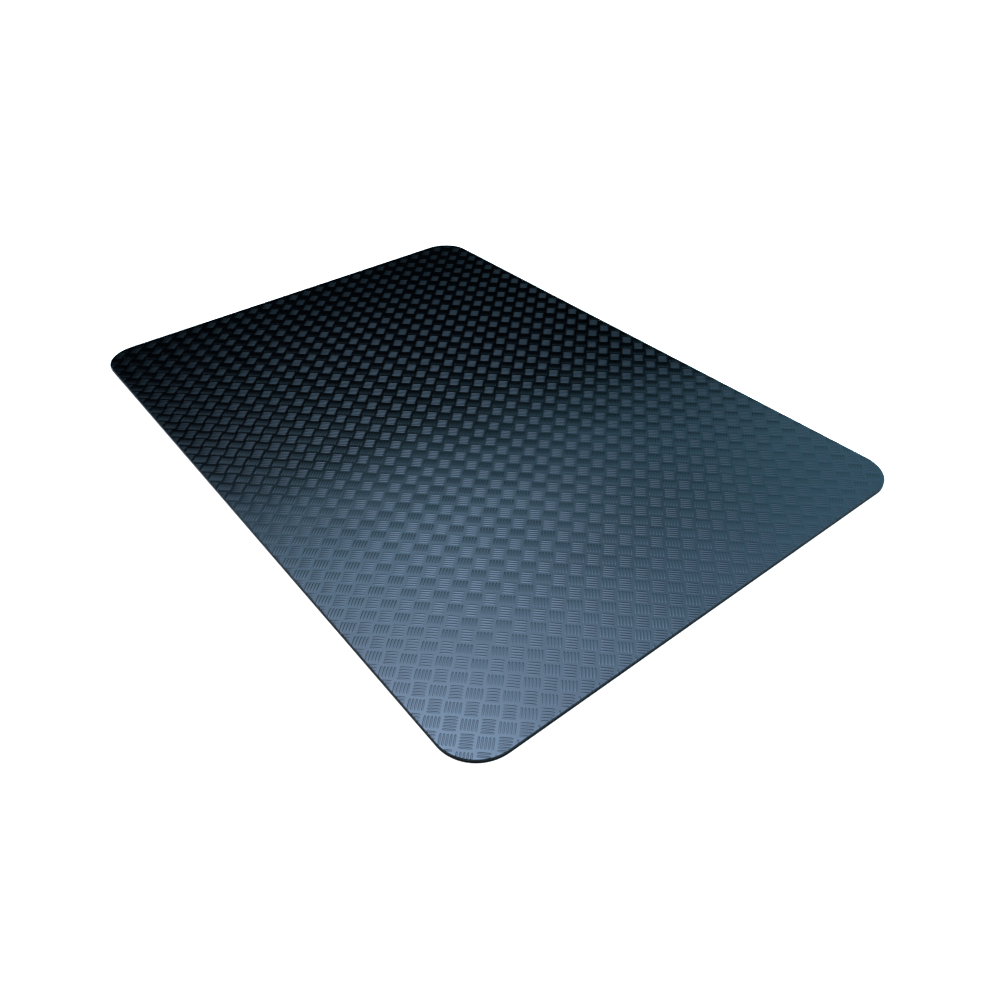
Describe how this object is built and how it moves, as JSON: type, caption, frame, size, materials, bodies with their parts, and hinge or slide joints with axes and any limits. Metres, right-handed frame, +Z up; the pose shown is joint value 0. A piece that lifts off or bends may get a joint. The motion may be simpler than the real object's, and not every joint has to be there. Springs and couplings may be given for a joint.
{
  "type": "anti fatigue mat",
  "caption": "Rectangular cushioned floor mat with rounded corners: a glossy wear sheet with a raised bar tread, a foam core and a non-slip underside.",
  "frame": {"origin": "middle of the underside, on the floor", "axes": "+X along the long side, +Y along the short side, +Z up out of the tread"},
  "size_m": [1, 0.7, 0.006],
  "materials": {
    "tread": "glossy black vinyl, embossed with a five-bar tread, slightly uneven shine",
    "foam": "dark closed-cell foam, matt, with cut cells along its edge",
    "grip": "matt black non-slip sheet, finely ribbed underneath"
  },
  "bodies": {
    "root": {"tread_sheet": "tread", "foam_core": "foam", "grip_sheet": "grip"}
  },
  "joints": []
}
